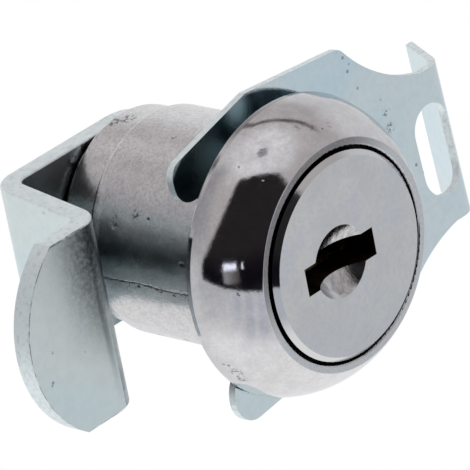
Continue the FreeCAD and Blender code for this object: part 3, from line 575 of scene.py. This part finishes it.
def clip_zinc(tree):
    """The clip's front is shinier than the cam, with hazy patches on the upper prong."""
    colour, roughness, normal = zinc(tree, *CLIP_SHADES, shiny=0.07, dull=0.12)
    place = tree.place()
    for middle, radius, rougher in CLIP_HAZE:
        patch = tree.math("POWER", nearness(tree, place, middle, radius, core=0.0), HAZE_FALL)
        roughness = tree.plus(roughness, tree.times(patch, rougher))
        colour = tree.mix(tree.times(patch, 0.8), colour, HAZE_TINT)
    marked = tree.times(marks(tree, place, CLIP_MARKS), 0.7)
    return tree.mix(marked, colour, CLIP_MARK), roughness, normal


def clip_back_zinc(tree):
    """The clip's back, without the patches."""
    return zinc(tree, *CLIP_SHADES, shiny=0.2, dull=0.3)


TONGUE_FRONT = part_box("cam")[0].y
EDGE_DARK = (0.79, 0.86, 0.87)
EDGE_LIGHT = (0.90, 0.96, 0.97)
EDGE_TORN = (0.45, 0.47, 0.49)
CORNER_LINE_DARK = (0.12, 0.13, 0.14)


def sheared_zinc(tree):
    """The punched edge of the plated sheet: part shiny shear, part torn and dull."""
    place = tree.place()
    x, y, z = tree.parts(place)
    wide = tree.noise(place, 500, detail=3, roughness=0.6)
    fine = tree.noise(place, 2600, detail=3, roughness=0.7)
    colour = tree.mix(wide, EDGE_DARK, EDGE_LIGHT)
    colour = tree.mix(tree.between(fine, 0.5, 0.7, 0.0, 0.25), colour, EDGE_TORN)
    # Dark broken line along the corner between the tongue's edge and its front
    corner_line = all_of(tree, [
        tree.between(x, mm(-12), mm(-13)),
        tree.between(y, TONGUE_FRONT + mm(0.14), TONGUE_FRONT + mm(0.07)),
        tree.between(tree.noise(place, 1200, detail=3, roughness=0.6), 0.4, 0.55, 0.3, 1.0),
    ])
    colour = tree.mix(tree.times(corner_line, 0.75), colour, CORNER_LINE_DARK)
    roughness = tree.between(fine, 0.3, 0.7, 0.42, 0.6)
    normal = tree.bump(fine, mm(0.012))
    return colour, roughness, tree.bump(wide, mm(0.03), before=normal)


BRASS_DARK = (0.62, 0.42, 0.16)
BRASS_LIGHT = (0.74, 0.54, 0.25)


def brass(tree):
    """Stamped brass of the wafers."""
    place = tree.place()
    wide = tree.noise(place, 700, detail=3, roughness=0.6)
    fine = tree.noise(tree.scaled(place, 0.3, 1, 1), 3000, roughness=0.6)
    roughness = tree.between(wide, 0.3, 0.7, 0.25, 0.38)
    return tree.mix(wide, BRASS_DARK, BRASS_LIGHT), roughness, tree.bump(fine, mm(0.004))


WIRE_DARK = (0.42, 0.42, 0.43)
WIRE_LIGHT = (0.56, 0.56, 0.57)


def spring_wire(tree):
    """Drawn steel wire."""
    fine = tree.noise(tree.place(), 4000, roughness=0.6)
    roughness = tree.between(fine, 0.3, 0.7, 0.2, 0.34)
    return tree.mix(fine, WIRE_DARK, WIRE_LIGHT), roughness, tree.bump(fine, mm(0.002))


STEEL_DARK = (0.56, 0.58, 0.62)
STEEL_LIGHT = (0.68, 0.70, 0.72)


def turned_steel(tree):
    """Plated screw and washers, with fine turning marks."""
    place = tree.place()
    wide = tree.noise(place, 500, detail=3, roughness=0.6)
    fine = tree.noise(tree.scaled(place, 1, 4, 1), 1800, roughness=0.6)
    roughness = tree.between(wide, 0.3, 0.7, 0.2, 0.34)
    return tree.mix(wide, STEEL_DARK, STEEL_LIGHT), roughness, tree.bump(fine, mm(0.004))


CHROME = metal("polished_chrome", polished_chrome)
CAST = metal("cast_chrome", cast_chrome)
FACE = metal("satin_nickel", satin_nickel)
RIM = metal("bright_nickel", bright_nickel)
DIMPLE = metal("pressed_nickel", pressed_nickel)
BACK = metal("back_painted_shade_and_light", back_painted_shade_and_light)
SLOT = metal("shaded_slot", shaded_slot)
ZINC = metal("zinc_plate", cam_zinc)
CLIP = metal("clip_zinc", clip_zinc)
CLIP_BACK = metal("clip_back_zinc", clip_back_zinc)
INSIDE = metal("cam_inside", cam_inside)
EDGE = metal("sheared_zinc", sheared_zinc)
BRASS = metal("stamped_brass", brass)
WIRE = metal("spring_wire", spring_wire)
STEEL = metal("turned_steel", turned_steel)


# Which metal each face of a piece has


def dress(node, finishes, choose=None):
    """Gives a node its finishes. choose(centre, normal) names the finish of each face by number."""
    mesh = nodes[node].data
    mesh.materials.clear()
    for finish in finishes:
        mesh.materials.append(finish)
    for face in mesh.polygons:
        face.material_index = choose(face.center, face.normal) if choose else 0


HEAD_BACK = mm(0.02)
FACES_BACK = 0.9


def housing_finish(centre, normal):
    """0 on the polished head, 1 on the cast barrel and 2 on the head's back."""
    if centre.y > HEAD_BACK:
        return 1
    return 2 if normal.y > FACES_BACK else 0


FACE_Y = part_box("plug")[0].y
FACE_EDGE = mm(7.8)
FACE_DEPTH = mm(0.01)
DIMPLE_RADIUS = mm(2.95)
DIMPLE_BACK = FACE_Y + mm(1.5)
SLOT_MIDDLE = mm(-1.0)
SLOT_HALF_LENGTH = mm(4.0)
SLOT_HALF_HEIGHT = mm(1.2)
FACES_SLOT = 0.95
FACES_FRONT = -0.98


def plug_finish(centre, normal):
    """0 on the flat face, 1 on its rim, 2 in the key slot and 3 in the dimple."""
    radius = math.hypot(centre.x, centre.z)
    behind_face = centre.y > FACE_Y + FACE_DEPTH
    in_slot = abs(centre.x - SLOT_MIDDLE) < SLOT_HALF_LENGTH and abs(centre.z) < SLOT_HALF_HEIGHT
    if in_slot and behind_face:
        slot_wall = abs(normal.x) > FACES_SLOT or abs(normal.z) > FACES_SLOT
        if slot_wall or centre.y > DIMPLE_BACK:
            return 2
    if radius < DIMPLE_RADIUS and behind_face:
        return 3
    return 1 if radius > FACE_EDGE and normal.y > FACES_FRONT else 0


CLIP_TILT = math.radians(4.15)
FACES_SIDEWAYS = 0.3


def sheet_edge(centre, normal):
    """0 on the tilted clip's front, 1 on its punched edge and 2 on its back."""
    backwards = normal.y * math.cos(CLIP_TILT) - normal.z * math.sin(CLIP_TILT)
    if abs(backwards) < FACES_SIDEWAYS:
        return 1
    return 2 if backwards > 0 else 0


TONGUE_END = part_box("cam")[0].x + mm(4.3)
JOG_MIDDLE = mm(10)
FACES_UP_OR_DOWN = 0.15


def cam_edge(centre, normal):
    """0 on the cam's outer side, 1 on its punched edge and curved end, and 2 on its hollow side."""
    at_end = centre.x < TONGUE_END and abs(normal.y) < FACES_SIDEWAYS
    if at_end or abs(normal.z) > FACES_UP_OR_DOWN:
        return 1
    by_barrel = normal.y < -FACES_SIDEWAYS and centre.y > JOG_MIDDLE
    return 2 if normal.x > FACES_SIDEWAYS or by_barrel else 0


WAFER_COUNT = 7

dress("housing", [CHROME, CAST, BACK], housing_finish)
dress("plug", [FACE, RIM, SLOT, DIMPLE], plug_finish)
dress("cam", [ZINC, EDGE, INSIDE], cam_edge)
dress("fixing_clip", [CLIP, EDGE, CLIP_BACK], sheet_edge)
dress("stop_washer", [STEEL])
dress("lock_washer", [STEEL])
dress("cam_screw", [STEEL])
for number in range(1, WAFER_COUNT + 1):
    dress("wafer_%d" % number, [BRASS])
    dress("wafer_spring_%d" % number, [WIRE])


# Camera

CAMERA_PLACE = (-0.318833, -0.331466, 0.205825)
CAMERA_RIGHT = Vector((0.65904, -0.73089, -0.17741))
CAMERA_UP = Vector((0.41439, 0.15602, 0.89662))
CAMERA_BACK = Vector((-0.62765, -0.66442, 0.40570))
FOCAL_PIXELS = 6550
PHOTO_PIXELS = 470
SENSOR_MM = 36
NEAREST_SEEN = 0.01
FARTHEST_SEEN = 20

lens = bpy.data.cameras.new("camera")
camera = bpy.data.objects.new("camera", lens)
bpy.context.scene.collection.objects.link(camera)
turn = Matrix((CAMERA_RIGHT, CAMERA_UP, CAMERA_BACK)).transposed().to_4x4()
camera.matrix_world = Matrix.Translation(CAMERA_PLACE) @ turn
lens.sensor_fit = "HORIZONTAL"
lens.sensor_width = SENSOR_MM
lens.lens = SENSOR_MM * FOCAL_PIXELS / PHOTO_PIXELS
lens.clip_start = NEAREST_SEEN
lens.clip_end = FARTHEST_SEEN
bpy.context.scene.camera = camera


# Studio. Its light goes by direction: x to the lock's right, y behind it and z up.


def side_of(tree, direction, normal, soft, edge):
    """1 where the direction lies on the normal's side of a plane, with a soft edge."""
    return tree.between(tree.along(direction, normal), edge - soft, edge + soft)


# The light by height of the direction, from straight down to straight up
LIGHT_STEPS = (
    (-1.0, (1.05, 1.05, 1.05)),
    (-0.78, (1.05, 1.05, 1.06)),
    (-0.41, (0.70, 0.71, 0.73)),
    (-0.10, (0.60, 0.61, 0.63)),
    (0.25, (0.57, 0.56, 0.57)),
    (0.65, (0.56, 0.53, 0.53)),
    (1.0, (0.66, 0.64, 0.64)),
)
# Plain areas, each with its shade and with the slopes that bound it: what each goes by, where it
# starts and where it is full. "lean" is x with half of y.
LEAN_SHARE = 0.5
WALLS = (
    # Brighter wall behind the lock, and another on the right
    ((0.92, 0.93, 0.94), (("y", 0.1, 0.75), ("z", 0.7, 0.35))),
    ((0.78, 0.78, 0.80), (("x", 0.75, 0.95), ("z", -0.3, 0.0))),
    # Duller corner of the tent behind and above on the left, with a lighter patch over it
    ((0.40, 0.395, 0.415), (("lean", 0.0, -0.2), ("y", 0.05, 0.4), ("z", 0.05, 0.45))),
    (
        (0.80, 0.775, 0.785),
        (("x", -0.4, -0.2), ("x", 0.3, 0.1), ("y", 0.45, 0.6), ("z", 0.5, 0.65)),
    ),
)
# A bluish wall low in front on the left, with folds
LOW_WALL = (("x", 0.1, -0.3), ("y", 0.0, -0.4), ("z", -0.1, -0.3), ("z", -0.9, -0.62))
FOLDS = 30
FOLDS_LEAN = 0.6
FOLD_DARK = (0.61, 0.63, 0.70)
FOLD_LIGHT = (0.71, 0.72, 0.76)
# A round lamp overhead with a ribbed stud in its middle, and a thin dark seam that runs past it
LAMP_ABOVE = (0.068, -0.116, 0.991)
LAMP_EDGE = 0.91
LAMP_SOFT = 0.07
LAMP_DARK = (0.78, 0.775, 0.80)
LAMP_LIGHT = (0.97, 0.965, 0.98)
STUD_EDGE = 0.9975
STUD_SOFT = 0.0012
STUD_RIBS = 90
STUD_SHADE = (0.12, 0.12, 0.13)
SEAM = (0.493, 0.531, -0.689)
SEAM_CUT = -0.194
SEAM_SHADE = (0.10, 0.085, 0.09)
# A dark flag to the left of the lock's face: the planes that bound it, where each cuts, and how
# softly
FLAG_PLANES = (
    ((0.357, -0.779, -0.552), -0.585, 0.035),
    ((-0.089, -0.239, 0.967), 0.0, 0.015),
    ((-0.748, -0.569, -0.344), 0.0, 0.03),
    ((-1.0, 0.0, 0.0), -0.02, 0.05),
    ((0.0, -1.0, 0.0), -0.2, 0.04),
)
FLAG_LOW = (0.007, 0.006, 0.009)
FLAG_HIGH = (0.024, 0.022, 0.023)
# What stands in front of the flag: a lamp on its stand, and a tube
STAND_NEAR = (0.34, 0.34, 0.36)
STAND_FAR = (0.11, 0.10, 0.095)
SMALL_LAMP = (1.3, 1.35, 1.6)
TUBE = (1.5, 1.55, 1.7)
# A dark strip behind on the left, which the barrel's flank shows
STRIP = (("x", -0.5, -0.64), ("y", 0.35, 0.5), ("z", -0.44, -0.3), ("z", 0.44, 0.02))
STRIP_SHADE = (0.45, 0.48, 0.49)


def area(tree, axes, slopes):
    """1 where every slope is full."""
    return all_of(tree, [tree.between(axes[axis], start, full) for axis, start, full in slopes])


def studio_light(tree, direction):
    """The studio's light by direction: bright below, grey above, with a dark flag on the left."""
    x, y, z = tree.parts(direction)
    axes = {"x": x, "y": y, "z": z, "lean": tree.times_plus(y, LEAN_SHARE, x)}
    ramp = tree.add("ShaderNodeValToRGB")
    tree.join(tree.times_plus(z, 0.5, 0.5), ramp.inputs[0])
    steps = ramp.color_ramp
    steps.interpolation = "EASE"
    while len(steps.elements) < len(LIGHT_STEPS):
        steps.elements.new(0.5)
    for element, (height, shade) in zip(steps.elements, LIGHT_STEPS):
        element.position = (height + 1) / 2
        element.color = shade + (1.0,)
    colour = ramp.outputs[0]

    for shade, slopes in WALLS:
        colour = tree.mix(area(tree, axes, slopes), colour, shade)
    folds = tree.math("SINE", tree.times(tree.minus(x, tree.times(y, FOLDS_LEAN)), FOLDS))
    wall = tree.mix(tree.between(folds, -0.6, 0.9), FOLD_DARK, FOLD_LIGHT)
    colour = tree.mix(area(tree, axes, LOW_WALL), colour, wall)

    # Lamp overhead, its stud and the seam
    ripple = tree.noise(direction, 9, detail=4, roughness=0.7, distortion=1.0)
    shine = tree.mix(tree.between(ripple, 0.4, 0.62), LAMP_DARK, LAMP_LIGHT)
    colour = tree.mix(side_of(tree, direction, LAMP_ABOVE, LAMP_SOFT, LAMP_EDGE), colour, shine)
    ribs = tree.math("SINE", tree.times(tree.plus(x, y), STUD_RIBS))
    stud = tree.times(
        side_of(tree, direction, LAMP_ABOVE, STUD_SOFT, STUD_EDGE),
        tree.between(ribs, -0.9, 0.6, 0.35, 1.0),
    )
    colour = tree.mix(stud, colour, STUD_SHADE)
    seam = all_of(tree, [
        band(tree, tree.along(direction, SEAM), SEAM_CUT - 0.05, SEAM_CUT + 0.02, 0.02),
        tree.between(z, 0.6, 0.7),
        tree.between(x, 0.74, 0.66),
    ])
    colour = tree.mix(tree.times(seam, 0.9), colour, SEAM_SHADE)

    # Dark flag, lighter towards its top, and what stands in front of its lower edge
    flag = all_of(tree, [
        side_of(tree, direction, normal, soft, cut) for normal, cut, soft in FLAG_PLANES
    ])
    colour = tree.mix(flag, colour, tree.mix(tree.between(z, 0.0, 0.35), FLAG_LOW, FLAG_HIGH))
    left = tree.between(x, -0.2, -0.4)
    stand = all_of(tree, [left, band(tree, y, -0.47, -0.2, 0.03), band(tree, z, -0.09, 0.1, 0.02)])
    colour = tree.mix(stand, colour, tree.mix(tree.between(y, -0.2, -0.45), STAND_NEAR, STAND_FAR))
    lamp = all_of(tree, [left, band(tree, y, -0.43, -0.2, 0.02), band(tree, z, 0.075, 0.155, 0.02)])
    colour = tree.mix(lamp, colour, SMALL_LAMP)
    tube = all_of(tree, [
        left, band(tree, y, -0.535, -0.515, 0.006), band(tree, z, 0.08, 0.15, 0.01),
    ])
    colour = tree.mix(tube, colour, TUBE)
    return tree.mix(area(tree, axes, STRIP), colour, STRIP_SHADE)


WHITE = (1.0, 1.0, 1.0)
PALE = (0.86, 0.86, 0.86)


def by_ray(tree, kind, others, its_own):
    """One shader for a kind of ray, and another for the other rays."""
    path = tree.add("ShaderNodeLightPath")
    either = tree.add("ShaderNodeMixShader")
    for source, socket in zip((path.outputs[kind], others, its_own), either.inputs):
        tree.join(source, socket)
    return either.outputs[0]


def coloured(tree, kind, colour):
    """A plain shader of one colour."""
    shader = tree.add(kind)
    tree.put(shader.inputs[0], colour)
    return shader.outputs[0]


# The camera sees plain white behind the lock
world = bpy.data.worlds.new("studio")
bpy.context.scene.world = world
tree = Tree(world)
light = studio_light(tree, tree.add("ShaderNodeTexCoord").outputs["Generated"])
sky = by_ray(
    tree,
    "Is Camera Ray",
    coloured(tree, "ShaderNodeBackground", light),
    coloured(tree, "ShaderNodeBackground", WHITE),
)
tree.join(sky, tree.add("ShaderNodeOutputWorld").inputs[0])

# Pale floor under the lowest point. It is white to the camera, and mirrors look through it.
FLOOR_HALF = 1.5
FLOOR_DROP = mm(0.02)
FLOOR_CORNERS = ((-1, -1), (1, -1), (1, 1), (-1, 1))

floor_height = cad_box[0].z - FLOOR_DROP
mesh = bpy.data.meshes.new("floor")
mesh.from_pydata(
    [(across * FLOOR_HALF, along * FLOOR_HALF, floor_height) for across, along in FLOOR_CORNERS],
    [],
    [(0, 1, 2, 3)],
)
floor = bpy.data.objects.new("floor", mesh)
bpy.context.scene.collection.objects.link(floor)
paint = bpy.data.materials.new("floor_white")
tree = Tree(paint)
white_or_matt = by_ray(
    tree,
    "Is Camera Ray",
    coloured(tree, "ShaderNodeBsdfDiffuse", PALE),
    coloured(tree, "ShaderNodeEmission", WHITE),
)
clear = tree.add("ShaderNodeBsdfTransparent").outputs[0]
surface = by_ray(tree, "Is Glossy Ray", white_or_matt, clear)
tree.join(surface, tree.add("ShaderNodeOutputMaterial").inputs[0])
mesh.materials.append(paint)

bpy.context.scene.view_settings.view_transform = "Standard"
